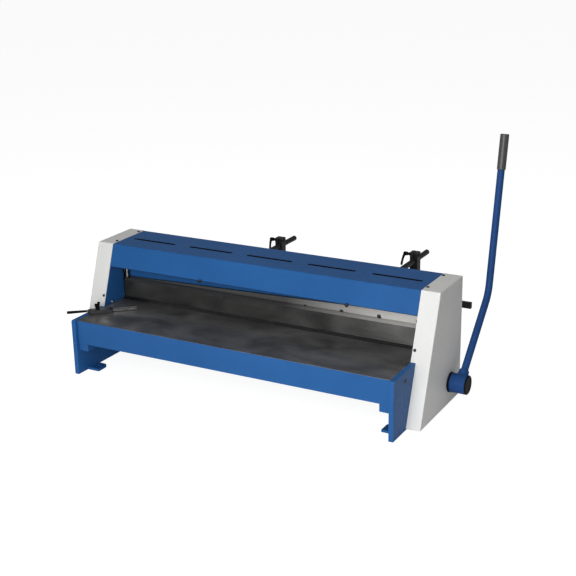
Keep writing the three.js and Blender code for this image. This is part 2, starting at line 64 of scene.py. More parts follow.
# ---- Driving values ---------------------------------------------------------------------------
SIDES = (("left", -1), ("right", 1))
MM = 0.001
plate_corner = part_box("side_plate_left")[0]
ORIGIN = Vector(((plate_corner.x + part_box("side_plate_right")[1].x) / 2, plate_corner.y, 0))
TO_FRAME = Matrix.Translation(ORIGIN) @ Matrix.Scale(MM, 4)
TO_MACHINE = TO_FRAME.inverted()
BODY_OF = {
    node: body
    for body, nodes in frame["record"]["behaviour"]["bodies"].items()
    for node in nodes
}

GAP = 0.3
HALF_WIDTH = 530
PLATE_OUTER = 545
PLATE_FRONT_TOP = 179
PLATE_REAR = 387
SHEET = 2
BEND = 3.2
TABLE_TOP = 178
COVER_INNER = HALF_WIDTH + GAP
COVER_OUTER = 588
COVER_TOP = 370.8
COVER_REAR = 389.5
COVER_BOTTOM = 4
HOOD_BOTTOM = 300
HOOD_TOP = 370
HOOD_REAR = 389
HOOD_LIP = 10
HOOD_REAR_DROP = 62
SLOT_PITCH = 211.5
SLOT_HALF_LENGTH = 79.5
SLOT_Y = (288.7, 301.3)
SLOT_CORNER = 6.2
SLANT = 0.356
SLANT_NORMAL = Vector((0, -1, SLANT)).normalized()

BLADE_HALF = 525
BLADE_TOP = 261.4
BLADE_RAKE = 0.0284
BLADE_DEPTH = 50
BLADE_SCREW_DROP = 22
BLADE_BOLTS = [12 + 122 * i for i in range(-4, 5)]
UPPER_BLADE_Y = (270.3, 280)
LOWER_BLADE_Y = (258, 269.7)
BEAM_REAR = 298
BEAM_PIN = (289.15, 300)
TONGUE_END = 562
HOLD_DOWN_X = 514
HOLD_DOWN_Y = 259

SHAFT = (307, 70.5)
SHAFT_BORE = 17.3
PIN_BORE = 9.3
CRANK_RADIUS = 42
CRANK_REST = math.radians(37.5)
CRANK_PIN = (
    SHAFT[0] - CRANK_RADIUS * math.cos(CRANK_REST),
    SHAFT[1] + CRANK_RADIUS * math.sin(CRANK_REST),
)
LINK_EYE = (BEAM_PIN[0] + (CRANK_PIN[0] - SHAFT[0] + CRANK_RADIUS) / 2, BEAM_PIN[1])

LEVER_X = 620
HUB_START = 594
HUB_RADIUS = 28.5
SOCKET_END = 42
SOCKET_RADIUS = 15
HUB_CENTRE = Vector((LEVER_X, *SHAFT))
LEVER_BEND = Vector((LEVER_X, 523, 280))
LEVER_TOP = Vector((LEVER_X, 614, 745))
LOWER_RUN = (LEVER_BEND - HUB_CENTRE).normalized()
UPPER_RUN = (LEVER_TOP - LEVER_BEND).normalized()
TUBE_RADIUS = 10.8
GRIP = 104

ROD_X = 258
ROD_MIDDLE_Z = 244.2
ROD_RADIUS = 9
ROD_END = 930
POST_Y = 824
POST_HALF = 14
CLAMP_ABOVE_ROD = 19
STOP_FRONT = 650
STOP_THICK = 12
STOP_HALF = 521
STOP_Z = (174, 184, 194)
GAUGE_PIVOT = (-514, 95)
GAUGE_ANGLE = math.radians(39.6)


def slant_y(z):
    """The covers' and the hood's front, which leans back as it rises."""
    return 86.6 + SLANT * (z - 5.4)


def blade_top(x):
    return BLADE_TOP + BLADE_RAKE * x


def rod_z(x):
    return ROD_MIDDLE_Z + BLADE_RAKE * x


# ---- Material nodes ---------------------------------------------------------------------------
def pattern(tree, scale, stretch=(1, 1, 1), detail=4.0, distortion=0.0):
    """Noise of that many cells a metre, in the frame's own axes."""
    coordinates = tree.nodes.new("ShaderNodeTexCoord")
    mapping = tree.nodes.new("ShaderNodeMapping")
    mapping.inputs["Scale"].default_value = [scale * share for share in stretch]
    noise = tree.nodes.new("ShaderNodeTexNoise")
    noise.inputs["Scale"].default_value = 1
    noise.inputs["Detail"].default_value = detail
    noise.inputs["Distortion"].default_value = distortion
    tree.links.new(coordinates.outputs["Object"], mapping.inputs["Vector"])
    tree.links.new(mapping.outputs["Vector"], noise.inputs["Vector"])
    return noise.outputs["Fac"]


def ramp(tree, factor, *stops):
    """A colour for each value of factor, from (position, colour) stops."""
    node = tree.nodes.new("ShaderNodeValToRGB")
    while len(node.color_ramp.elements) < len(stops):
        node.color_ramp.elements.new(0.5)
    for element, (position, colour) in zip(node.color_ramp.elements, stops):
        element.position = position
        element.color = (*colour, 1)
    tree.links.new(factor, node.inputs["Fac"])
    return node.outputs["Color"]


def blended(tree, factor, first, second, blend="MIX"):
    node = tree.nodes.new("ShaderNodeMix")
    node.data_type = "RGBA"
    node.blend_type = blend
    if isinstance(factor, float):
        node.inputs["Factor"].default_value = factor
    else:
        tree.links.new(factor, node.inputs["Factor"])
    tree.links.new(first, node.inputs["A"])
    tree.links.new(second, node.inputs["B"])
    return node.outputs["Result"]


def ranged(tree, factor, low, high, start=0.3, end=0.7):
    node = tree.nodes.new("ShaderNodeMapRange")
    node.inputs["From Min"].default_value = start
    node.inputs["From Max"].default_value = end
    node.inputs["To Min"].default_value = low
    node.inputs["To Max"].default_value = high
    tree.links.new(factor, node.inputs["Value"])
    return node.outputs["Result"]


def bumps(tree, *layers):
    """One normal from several (height, strength, distance in metres) layers."""
    normal = None
    for height, strength, distance in layers:
        node = tree.nodes.new("ShaderNodeBump")
        node.inputs["Strength"].default_value = strength
        node.inputs["Distance"].default_value = distance
        tree.links.new(height, node.inputs["Height"])
        if normal is not None:
            tree.links.new(normal, node.inputs["Normal"])
        normal = node.outputs["Normal"]
    return normal


def surface(name, make, **constants):
    """A material whose constants are set on the shader and whose patterns come from make(tree)."""
    material = bpy.data.materials.new(name)
    material.use_nodes = True
    tree = material.node_tree
    shader = tree.nodes["Principled BSDF"]
    for socket, value in constants.items():
        shader.inputs[socket.replace("_", " ")].default_value = value
    for socket, source in make(tree).items():
        tree.links.new(source, shader.inputs[socket])
    return material


def enamel(base, shade):
    """Glossy machine enamel: slow colour drift, fine specks and an orange-peel skin."""
    def make(tree):
        drift = ramp(tree, pattern(tree, 5, detail=3), (0.3, shade), (0.7, base))
        specks = ramp(tree, pattern(tree, 900, detail=2), (0.35, (0.93,) * 3), (0.6, (1, 1, 1)))
        return {
            "Base Color": blended(tree, 1.0, drift, specks, "MULTIPLY"),
            "Roughness": ranged(tree, pattern(tree, 60, detail=5), 0.3, 0.42),
            "Normal": bumps(
                tree,
                (pattern(tree, 330, detail=1), 0.12, 0.0003),
                (pattern(tree, 25, detail=2), 0.05, 0.001)),
        }
    return make


def powder(base, shade):
    """Fine-grained powder coat on sheet metal."""
    def make(tree):
        drift = ramp(tree, pattern(tree, 4, detail=3), (0.3, shade), (0.7, base))
        grain = ramp(tree, pattern(tree, 1300, detail=2), (0.3, (0.9,) * 3), (0.65, (1, 1, 1)))
        return {
            "Base Color": blended(tree, 1.0, drift, grain, "MULTIPLY"),
            "Roughness": ranged(tree, pattern(tree, 80, detail=4), 0.38, 0.52),
            "Normal": bumps(tree, (pattern(tree, 750, detail=2), 0.16, 0.0003)),
        }
    return make


def lengthwise(tree, left, right, low, high):
    """A colour that turns from low at X = left to high at X = right, in metres."""
    place = tree.nodes.new("ShaderNodeTexCoord")
    along = tree.nodes.new("ShaderNodeSeparateXYZ")
    tree.links.new(place.outputs["Object"], along.inputs["Vector"])
    return ramp(tree, ranged(tree, along.outputs["X"], 0, 1, left, right), (0, low), (1, high))


def ground(dark, light, roughness, cloud=7, painted_shade_run=None):
    """Surface-ground steel: fine lines along X under oily clouds and small stains. painted_shade_run
    gives lengthwise() a run of painted shade that darkens the left end more than the right end."""
    def make(tree):
        lines = pattern(tree, 10, (0.35, 60, 60), detail=6)
        clouds = pattern(tree, cloud, (0.8, 1.5, 1.5), detail=5, distortion=0.6)
        stains = pattern(tree, 17, detail=4, distortion=0.4)
        tone = ramp(tree, clouds, (0.3, dark), (0.52, [(a + b) / 2 for a, b in zip(dark, light)]),
                    (0.75, light))
        lined = blended(tree, 0.5, tone, ramp(
            tree, lines, (0.3, (0.7,) * 3), (0.7, (1, 1, 1))), "MULTIPLY")
        spotted = blended(tree, 0.6, lined, ramp(
            tree, stains, (0.3, (0.7,) * 3), (0.5, (1, 1, 1))), "MULTIPLY")
        # painted shade along X, darker towards the left end
        if painted_shade_run:
            spotted = blended(tree, 1.0, spotted, lengthwise(tree, *painted_shade_run), "MULTIPLY")
        return {
            "Base Color": spotted,
            "Roughness": ranged(tree, stains, roughness[1], roughness[0]),
            "Normal": bumps(tree, (lines, 0.1, 0.0003), (clouds, 0.1, 0.002)),
        }
    return make


def turned_metal(dark, light, roughness):
    """Machined or blackened metal with faint marks in every direction."""
    def make(tree):
        tone = ramp(tree, pattern(tree, 45, detail=6), (0.3, dark), (0.7, light))
        return {
            "Base Color": tone,
            "Roughness": ranged(tree, pattern(tree, 140, detail=5), *roughness),
            "Normal": bumps(tree, (pattern(tree, 600, (1, 1, 0.2), detail=3), 0.12, 0.0003)),
        }
    return make


def moulded(dark, light):
    """Moulded plastic with a fine spark-eroded grain."""
    def make(tree):
        tone = ramp(tree, pattern(tree, 60, detail=3), (0.3, dark), (0.7, light))
        return {
            "Base Color": tone,
            "Roughness": ranged(tree, pattern(tree, 300, detail=3), 0.34, 0.48),
            "Normal": bumps(tree, (pattern(tree, 1500, detail=2), 0.12, 0.0002)),
        }
    return make


def edge_ground(painted_shade_tone, painted_light_tone):
    """Fine-ground blade steel with painted light: a painted highlight at the lever's end and painted
    shade to the left, under the hood.
    """
    def make(tree):
        lines = pattern(tree, 12, (0.5, 40, 40), detail=5)
        lined = ramp(tree, lines, (0.3, (0.86,) * 3), (0.7, (1, 1, 1)))
        # painted light along X: the painted shade tone at the left end turns into the painted
        # highlight tone at the right end
        tone = lengthwise(tree, 0.04, 0.4, painted_shade_tone, painted_light_tone)
        return {
            "Base Color": blended(tree, 1.0, tone, lined, "MULTIPLY"),
            "Roughness": ranged(tree, pattern(tree, 50, detail=4), 0.4, 0.5),
            "Normal": bumps(tree, (lines, 0.06, 0.0003)),
        }
    return make


MATERIALS = {
    "blue_paint": surface(
        "machine_blue", enamel((0.0175, 0.0890, 0.258), (0.0145, 0.0770, 0.229)),
        Specular_IOR_Level=0.1),
    "dark_blue_paint": surface(
        "lever_blue", enamel((0.0160, 0.0560, 0.180), (0.0130, 0.0470, 0.155)),
        Specular_IOR_Level=0.06),
    "grey_paint": surface(
        "cover_grey", powder((0.62, 0.62, 0.605), (0.57, 0.57, 0.56)), Specular_IOR_Level=0.4),
    "ground_steel": surface(
        "ground_steel_dark", ground((0.062, 0.062, 0.062), (0.265, 0.262, 0.258), (0.3, 0.44)),
        Metallic=0.65),
    # The hold-down's steel darkens towards its left end as painted shade.
    "pressed_steel": surface(
        "hold_down_steel", ground(
            (0.050, 0.050, 0.049), (0.190, 0.188, 0.184), (0.4, 0.5), 11,
            (0.05, 0.45, (0.3, 0.3, 0.3), (0.8,) * 3)),
        Metallic=0.4),
    "bright_steel": surface(
        "ground_steel_bright", ground((0.42, 0.42, 0.41), (0.66, 0.66, 0.64), (0.24, 0.36), 12),
        Metallic=1.0),
    # the blade's steel carries painted light: painted shade to the left, a painted highlight to the
    # right
    "blade_steel_painted_light": surface(
        "blade_steel_painted_light", edge_ground((0.062, 0.061, 0.060), (0.54, 0.53, 0.51)), Metallic=0.2),
    "bar_steel": surface(
        "gauge_bar_steel", ground((0.07, 0.07, 0.07), (0.18, 0.18, 0.175), (0.25, 0.4), 30),
        Metallic=0.9),
    # painted shade: the lower blade is near black for the shade under the hold-down
    "shaded_blade_steel": surface(
        "lower_blade_painted_shade", turned_metal((0.016, 0.016, 0.017), (0.040, 0.040, 0.041), (0.5, 0.62)),
        Metallic=0.3),
    "black_steel": surface(
        "blackened_steel", turned_metal((0.010, 0.010, 0.011), (0.026, 0.026, 0.028), (0.36, 0.5)),
        Metallic=0.35),
    "black_plastic": surface(
        "moulded_black", moulded((0.004, 0.004, 0.004), (0.007, 0.007, 0.007)),
        Specular_IOR_Level=0.03),
    "grip_rubber": surface(
        "grip_rubber", moulded((0.040, 0.040, 0.041), (0.055, 0.055, 0.056))),
    "bronze": surface(
        "bush_bronze", turned_metal((0.42, 0.24, 0.08), (0.60, 0.37, 0.15), (0.3, 0.44)),
        Metallic=1.0),
}


# ---- Shape helpers ----------------------------------------------------------------------------
def along_x(a, b, height):
    return Vector((height, a, b))


def along_y(a, b, height):
    return Vector((a, height, b))


def along_z(a, b, height):
    return Vector((a, b, height))


def bridge(bm, first, second):
    """Faces between two rings, either of which may be a single point."""
    count = max(len(first), len(second))
    for i in range(count):
        j = (i + 1) % count
        if len(first) == 1:
            bm.faces.new((first[0], second[j], second[i]))
        elif len(second) == 1:
            bm.faces.new((first[i], first[j], second[0]))
        else:
            bm.faces.new((first[i], first[j], second[j], second[i]))


def turned(bm, profile, centre, axis, facets=36):
    """A profile of (radius, height) points turned about an axis. A third item "hex" makes a
    point's ring a hexagon with that distance to its flats. It starts and ends on the axis, or
    else it is a ring and joins up with itself."""
    axis = Vector(axis).normalized()
    side = axis.orthogonal().normalized()
    up = axis.cross(side)
    rings = []
    for radius, height, *shape in profile:
        middle = Vector(centre) + axis * height
        if radius == 0:
            rings.append([bm.verts.new(middle)])
            continue
        ring = []
        for i in range(facets):
            angle = 2 * math.pi * i / facets
            reach = radius
            if shape:
                reach /= math.cos((angle + math.pi / 6) % (math.pi / 3) - math.pi / 6)
            ring.append(bm.verts.new(middle + (side * math.cos(angle) + up * math.sin(angle)) * reach))
        rings.append(ring)
    for first, second in zip(rings, rings[1:]):
        bridge(bm, first, second)
    if len(rings[0]) > 1:
        bridge(bm, rings[-1], rings[0])
    return bm


def extruded(bm, loops, place, low, high):
    """An outline and its holes, made solid between two heights."""
    flat = [[Vector((a, b, 0)) for a, b in loop] for loop in loops]
    bottom = [bm.verts.new(place(a, b, low)) for loop in loops for a, b in loop]
    top = [bm.verts.new(place(a, b, high)) for loop in loops for a, b in loop]
    for triangle in tessellate_polygon(flat):
        bm.faces.new([top[i] for i in triangle])
        bm.faces.new([bottom[i] for i in reversed(triangle)])
    start = 0
    for loop in loops:
        count = len(loop)
        bridge(bm, bottom[start:start + count], top[start:start + count])
        start += count
    return bm


def swept(bm, route, radius, facets=16, closed=False):
    """A round bar along a route. radius is a number, or a function of the share of the route."""
    count = len(route)
    side = None
    rings = []
    for i, point in enumerate(route):
        before = route[i - 1] if closed or i else point
        after = route[(i + 1) % count] if closed or i < count - 1 else point
        tangent = (after - before).normalized()
        if side is None:
            side = tangent.orthogonal().normalized()
        else:
            side = (side - tangent * side.dot(tangent)).normalized()
        up = tangent.cross(side)
        reach = radius(i / (count - 1)) if callable(radius) else radius
        rings.append([
            bm.verts.new(point + (side * math.cos(a) + up * math.sin(a)) * reach)
            for a in (2 * math.pi * k / facets for k in range(facets))])
    for first, second in zip(rings, rings[1:]):
        bridge(bm, first, second)
    if closed:
        bridge(bm, rings[-1], rings[0])
    else:
        bridge(bm, [bm.verts.new(route[0])], rings[0])
        bridge(bm, rings[-1], [bm.verts.new(route[-1])])
    return bm


def box(bm, x, y, z):
    corners = [(x[0], y[0]), (x[1], y[0]), (x[1], y[1]), (x[0], y[1])]
    return extruded(bm, [corners], along_z, *z)


def circle(a, b, radius, facets=36):
    turns = [2 * math.pi * i / facets for i in range(facets)]
    return [(a + radius * math.cos(t), b + radius * math.sin(t)) for t in turns]


def rounded(points, radius, steps=6):
    """An outline with its corners made arcs. A point's third item is a radius of its own."""
    made = []
    for i, point in enumerate(points):
        corner = Vector(point[:2])
        reach = point[2] if len(point) > 2 else radius
        if not reach:
            made.append(tuple(corner))
            continue
        before = (Vector(points[i - 1][:2]) - corner).normalized()
        after = (Vector(points[(i + 1) % len(points)][:2]) - corner).normalized()
        half = before.angle(after) / 2
        centre = corner + (before + after).normalized() * reach / math.sin(half)
        start = corner + before * reach / math.tan(half) - centre
        end = corner + after * reach / math.tan(half) - centre
        first = math.atan2(start.y, start.x)
        turn = (math.atan2(end.y, end.x) - first + math.pi) % (2 * math.pi) - math.pi
        for k in range(steps + 1):
            angle = first + turn * k / steps
            made.append((centre.x + reach * math.cos(angle), centre.y + reach * math.sin(angle)))
    return made


def refined(node):
    """A CAD node's own mesh in machine axes, with its flat facets joined up."""
    bm = bmesh.new()
    bm.from_mesh(frame["nodes"][node].data)
    bmesh.ops.transform(bm, matrix=TO_MACHINE, verts=bm.verts)
    return joined_flats(bm)


def joined_flats(bm):
    bmesh.ops.remove_doubles(bm, verts=bm.verts, dist=0.002)
    bmesh.ops.dissolve_limit(
        bm, angle_limit=math.radians(0.3), verts=bm.verts, edges=bm.edges)
    return bm


def soften(bm, width, steps=2, angle=40, pick=None):
    """Rounds the edges that turn more than angle, or those of them that pick wants."""
    bmesh.ops.recalc_face_normals(bm, faces=bm.faces)
    edges = [
        edge for edge in bm.edges
        if edge.is_manifold and edge.calc_face_angle() > math.radians(angle)
        and (pick is None or pick(edge))]
    bmesh.ops.bevel(
        bm, geom=edges, offset=width, offset_type="OFFSET", segments=steps, profile=0.5,
        affect="EDGES", clamp_overlap=True)
    return bm


def stand_in(bm):
    """A hidden object for a boolean, which is removed when the cut is made."""
    bmesh.ops.recalc_face_normals(bm, faces=bm.faces)
    mesh = bpy.data.meshes.new("stand_in")
    bm.to_mesh(mesh)
    bm.free()
    made = bpy.data.objects.new("stand_in", mesh)
    bpy.context.scene.collection.objects.link(made)
    return made


def carved(bm, *tools):
    """bm with the tools cut out of it."""
    body = stand_in(bm)
    cutters = [stand_in(tool) for tool in tools]
    for cutter in cutters:
        cut = body.modifiers.new("cut", "BOOLEAN")
        cut.operation = "DIFFERENCE"
        cut.solver = "EXACT"
        cut.object = cutter
    depsgraph = bpy.context.evaluated_depsgraph_get()
    mesh = bpy.data.meshes.new_from_object(body.evaluated_get(depsgraph))
    made = bmesh.new()
    made.from_mesh(mesh)
    for used in (body, *cutters):
        data = used.data
        bpy.data.objects.remove(used)
        bpy.data.meshes.remove(data)
    bpy.data.meshes.remove(mesh)
    return joined_flats(made)


def piece(name, bm, finish, *nodes, body=None, smooth=35, also=()):
    """Makes the mesh a piece. nodes are the CAD nodes that it stands for, and also holds further
    finishes, each with a test of a face's centre; the last that passes is used."""
    bmesh.ops.recalc_face_normals(bm, faces=bm.faces)
    mesh = bpy.data.meshes.new(name)
    mesh.materials.append(MATERIALS[finish])
    for index, (extra, wanted) in enumerate(also, 1):
        mesh.materials.append(MATERIALS[extra])
        for face in bm.faces:
            if wanted(face.calc_center_median()):
                face.material_index = index
    bm.to_mesh(mesh)
    bm.free()
    mesh.transform(TO_FRAME)
    mesh.shade_smooth()
    mesh.set_sharp_from_angle(angle=math.radians(smooth))
    made = bpy.data.objects.new(name, mesh)
    bpy.context.scene.collection.objects.link(made)
    weighted = made.modifiers.new("weighted", "WEIGHTED_NORMAL")
    weighted.keep_sharp = True
    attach(made, body or BODY_OF[nodes[0]])
    if nodes:
        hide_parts(*nodes)
    return made


# ---- Fasteners and welds ----------------------------------------------------------------------
def socket_screw(name, seat, direction, radius, height, body="frame", finish="black_steel"):
    """A button head with a hexagon socket."""
    socket = radius * 0.42
    profile = [
        (0, 0), (radius, 0), (radius, height * 0.3), (radius * 0.93, height * 0.62),
        (radius * 0.78, height * 0.86), (radius * 0.6, height), (socket, height, "hex"),
        (socket, height * 0.4, "hex"), (0, height * 0.3)]
    piece(name, turned(bmesh.new(), profile, seat, direction, 24), finish, body=body, smooth=30)


def recessed_screw(name, seat, direction, radius, depth, body):
    """A cap screw that fills a counterbore; seat is the middle of its head's top."""
    socket = radius * 0.5
    profile = [
        (0, -depth), (radius, -depth), (radius, -0.6), (radius - 0.6, 0), (socket, 0, "hex"),
        (socket, -3.2, "hex"), (0, -3.8)]
    piece(name, turned(bmesh.new(), profile, seat, direction, 24), "black_steel", body=body,
          smooth=30)


def hexagon(bm, seat, direction, flat, height, washer=0.0, bore=0.0):
    """A bolt head or a nut with chamfered corners, on a washer if one is wanted."""
    if washer:
        turned(bm, [(0, 0), (flat + 4, 0), (flat + 4, washer - 0.3), (flat + 3.6, washer),
                    (0, washer)], seat, direction, 30)
    foot = washer - 0.05 if washer else 0
    profile = [
        (0, foot), (flat, foot, "hex"), (flat, washer + height - 1.2, "hex"),
        (flat * 0.94, washer + height)]
    if bore:
        profile += [(bore, washer + height), (bore - 0.5, washer + height - 2)]
    profile += [(0, profile[-1][1])]
    return turned(bm, profile, seat, direction, 24)


def weld(name, start, end, radius, finish, body="frame"):
    """A rippled weld bead between two points."""
    ripple_length = 4.0
    start, end = Vector(start), Vector(end)
    ripples = max(3, round((end - start).length / ripple_length))
    count = 4 * ripples

    def reach(share):
        taper = min(1, 8 * share + 0.3, 8 * (1 - share) + 0.3)
        return radius * taper * (0.86 + 0.14 * abs(math.sin(math.pi * ripples * share)))

    route = [start.lerp(end, i / count) for i in range(count + 1)]
    piece(name, swept(bmesh.new(), route, reach, 10), finish, body=body, smooth=60)


# ---- Side plates, tabs, bearers and tie bar ----------------------------------------------------
WELD_X = 529.4
for label, side in SIDES:
    plate = soften(refined(f"side_plate_{label}"), 1.3, 3)
    piece(f"plate_{label}", plate, "blue_paint", f"side_plate_{label}")
    for place, y in (("front", (46.5, 95)), ("rear", (296, 344.5))):
        tab = soften(refined(f"foot_tab_{place}_{label}"), 0.9)
        piece(f"tab_{place}_{label}", tab, "blue_paint", f"foot_tab_{place}_{label}")
        weld(f"tab_weld_{place}_{label}", (side * WELD_X, y[0] + 3, 8.2),
             (side * WELD_X, y[1] - 3, 8.2), 2.3, "blue_paint")
    bearer = soften(refined(f"table_bearer_{label}"), 1.5, 3)
    piece(f"bearer_{label}", bearer, "blue_paint", f"table_bearer_{label}")
    weld(f"bearer_weld_{label}", (side * WELD_X, 14, 77.4), (side * WELD_X, 238, 77.4), 2.2,
         "blue_paint")
    bolt = hexagon(bmesh.new(), (side * PLATE_OUTER, 79, 151), (side, 0, 0), 5, 3.4)
    piece(f"table_bolt_head_{label}", bolt, "black_steel", f"table_bolt_{label}")
    weld(f"tie_weld_{label}", (side * 529.2, 349, 48.4), (side * 529.2, 375, 48.4), 2.4,
         "dark_blue_paint")
piece("tie_bar", soften(refined("rear_tie_bar"), 1.6, 3), "dark_blue_paint", "rear_tie_bar")
socket_screw("side_guide_pin", (-HALF_WIDTH, 187, 184), (1, 0, 0), 3.6, 6, finish="bright_steel")

# ---- Table ------------------------------------------------------------------------------------
table = soften(refined("table_casting"), 1.0, 3)
shaded_strip_y = 243.5  # the front of the strip beside the lower blade that is painted black as painted shade
bmesh.ops.bisect_plane(
    table, geom=[*table.verts, *table.edges, *table.faces], plane_co=(0, shaded_strip_y, 0),
    plane_no=(0, 1, 0))
# Faces behind the strip's front get blackened steel as painted shade under the hold-down and the beam.
piece("table", table, "blue_paint", "table_casting", also=(
    ("ground_steel", lambda centre: centre.z > TABLE_TOP - 1.05),
    ("black_steel", lambda centre: centre.y > shaded_strip_y)))


def blade(name, node, finish, bottom, top, y, hole_z, face, body):
    """A blade with its row of screws; face is the side that the heads are on."""
    hole = 6.8
    outline = [(-BLADE_HALF, bottom(-BLADE_HALF)), (BLADE_HALF, bottom(BLADE_HALF)),
               (BLADE_HALF, top(BLADE_HALF)), (-BLADE_HALF, top(-BLADE_HALF))]
    holes = [circle(x, hole_z(x), hole, 24) for x in BLADE_BOLTS]
    bar = joined_flats(extruded(bmesh.new(), [outline, *holes], along_y, *y))
    piece(name, soften(bar, 0.35), finish, node)
    sunk = 0.7
    for i, x in enumerate(BLADE_BOLTS):
        head_y = y[0] + sunk if face < 0 else y[1] - sunk
        recessed_screw(f"{name}_screw_{i}", (x, head_y, hole_z(x)), (0, face, 0), hole - 0.35,
                       y[1] - y[0] - sunk - 0.2, body)


# The lower blade's near-black steel is painted shade under the hold-down.
blade("blade_lower", "lower_blade", "shaded_blade_steel", lambda x: 138, lambda x: TABLE_TOP,
      LOWER_BLADE_Y, lambda x: 158, 1, "frame")
# The upper blade's steel carries painted shade at its left end and a painted highlight at its right
# end.
blade("blade_upper", "upper_blade", "blade_steel_painted_light", lambda x: blade_top(x) - BLADE_DEPTH,
      blade_top, UPPER_BLADE_Y, lambda x: blade_top(x) - BLADE_SCREW_DROP, -1, "beam")

# ---- Blade beam, guides and hold-down ----------------------------------------------------------
piece("beam", soften(refined("blade_beam"), 1.2, 3), "blue_paint", "blade_beam")
for i, x in enumerate(BLADE_BOLTS):
    clear_of_rods = 30  # the rods' own nuts are there
    if min(abs(x - ROD_X), abs(x + ROD_X)) > clear_of_rods:
        seat = (x, BEAM_REAR, blade_top(x) - BLADE_SCREW_DROP)
        nut = hexagon(bmesh.new(), seat, (0, 1, 0), 8, 7, washer=1.5, bore=4.6)
        piece(f"blade_nut_{i}", nut, "black_steel", body="beam")


def coil(x, y, low, high, radius, wire, turns):
    """A compression spring with a closed turn at each end."""
    bm = bmesh.new()
    closed = 0.9  # of a turn
    closed_pitch = 2.1 * wire
    open_pitch = (high - low - 2 * wire - 2 * closed * closed_pitch) / (turns - 2 * closed)
    steps_a_turn = 24
    route = []
    for i in range(round(turns * steps_a_turn) + 1):
        turn = i / steps_a_turn
        first = min(turn, closed)
        last = max(0, turn - (turns - closed))
        middle = turn - first - last
        z = low + wire + (first + last) * closed_pitch + middle * open_pitch
        angle = 2 * math.pi * turn
        route.append(Vector((x + radius * math.cos(angle), y + radius * math.sin(angle), z)))
    return swept(bm, route, wire, 10)


for label, side in SIDES:
    gib = soften(refined(f"front_gib_{label}"), 0.5)
    piece(f"gib_{label}", gib, "black_steel", f"front_gib_{label}")
    pin = turned(bmesh.new(), [
        (0, 0), (8, 0), (8, 14), (6.8, 14.3), (6.8, 15.4), (8, 15.7), (7.2, 16.5), (0, 16.5)],
        (side * (TONGUE_END + GAP), *BEAM_PIN), (side, 0, 0))
    piece(f"pin_{label}", pin, "bright_steel", f"beam_pin_{label}")
    spring = coil(side * 537.5, BEAM_PIN[0], 140.2, 284.8, radius=5.5, wire=1.2, turns=11)
    piece(f"lift_spring_{label}", spring, "black_steel", f"return_spring_{label}")

    x = side * HOLD_DOWN_X
    housing = soften(refined(f"hold_down_housing_{label}"), 1.0)
    piece(f"housing_{label}", housing, "dark_blue_paint", f"hold_down_housing_{label}")
    stud = turned(bmesh.new(), [
        (0, 0.3), (3.5, 0.3), (3.5, 55), (7.5, 55), (7.5, 59.3), (6.8, 60), (3, 60, "hex"),
        (3, 57.4, "hex"), (0, 57)], (x, HOLD_DOWN_Y, 247), (0, 0, 1))
    piece(f"stud_{label}", stud, "bright_steel", f"hold_down_stud_{label}")
    nut = hexagon(bmesh.new(), (x, HOLD_DOWN_Y, 247.05), (0, 0, 1), 6, 4.5, bore=3.6)
    piece(f"stud_nut_{label}", nut, "black_steel", body="hold_down")
    spring = coil(x, HOLD_DOWN_Y, 307.1, 361.6, radius=6.4, wire=0.9, turns=6)
    piece(f"press_spring_{label}", spring, "black_steel", f"hold_down_spring_{label}")

slope_bottom = 241.5
# The slope above slope_bottom gets the blade's steel, with its painted light, as a painted reflection
# of the bright blade.
piece("hold_down", soften(refined("hold_down_bar"), 0.8, 3, 30), "pressed_steel", "hold_down_bar",
      also=(("blade_steel_painted_light", lambda centre: centre.z > slope_bottom),))


# ---- Crank drive ------------------------------------------------------------------------------
def eyes(a, radius_a, b, radius_b, shank=None, steps=30):
    """The outline round two eyes, with straight tangents or with a narrower shank."""
    heading = math.atan2(b[1] - a[1], b[0] - a[0])
    apart = math.dist(a, b)
    open_a = math.asin(shank / radius_a) if shank else math.acos((radius_a - radius_b) / apart)
    open_b = math.asin(shank / radius_b) if shank else math.pi - open_a
    points = []
    for (y, z), radius, start, opening in (
            (a, radius_a, heading, open_a), (b, radius_b, heading + math.pi, open_b)):
        for i in range(steps + 1):
            angle = start + opening + (2 * math.pi - 2 * opening) * i / steps
            points.append((y + radius * math.cos(angle), z + radius * math.sin(angle)))
    return points


for label, side in SIDES:
    arm = extruded(bmesh.new(), [
        eyes(SHAFT, 30, CRANK_PIN, 17), circle(*SHAFT, SHAFT_BORE), circle(*CRANK_PIN, PIN_BORE)],
        along_x, side * 549, side * TONGUE_END)
    piece(f"arm_{label}", soften(joined_flats(arm), 1.0), "black_steel", f"crank_arm_{label}")
    rod = extruded(bmesh.new(), [
        eyes(LINK_EYE, 21.6, CRANK_PIN, 15.5, 10.5), circle(*LINK_EYE, 13.6),
        circle(*CRANK_PIN, PIN_BORE)], along_x, side * 564.3, side * 576)
    piece(f"link_rod_{label}", soften(joined_flats(rod), 1.0), "black_steel", f"link_{label}")
    pin = turned(bmesh.new(), [
        (0, 0), (8.2, 0), (9, 0.8), (9, 28), (7.6, 28.2), (7.6, 29.3), (9, 29.5), (8.2, 31),
        (0, 31)], (side * 549, *CRANK_PIN), (side, 0, 0))
    piece(f"crank_pin_turned_{label}", pin, "bright_steel", f"crank_pin_{label}")
    bush = turned(bmesh.new(), [
        (SHAFT_BORE, 0.6), (17.9, 0), (23.4, 0), (24, 0.6), (24, 21.9), (23.4, 22.5), (17.9, 22.5),
        (SHAFT_BORE, 21.9)], (side * 526, *SHAFT), (side, 0, 0), 48)
    piece(f"bush_{label}", bush, "bronze", f"shaft_bush_{label}")

shaft_length = 640 + TONGUE_END
shaft = turned(bmesh.new(), [
    (0, 0), (15.8, 0), (17, 1.2), (17, shaft_length - 1.2), (15.8, shaft_length),
    (0, shaft_length)], (-TONGUE_END, *SHAFT), (1, 0, 0), 48)
piece("shaft", shaft, "bright_steel", "main_shaft")

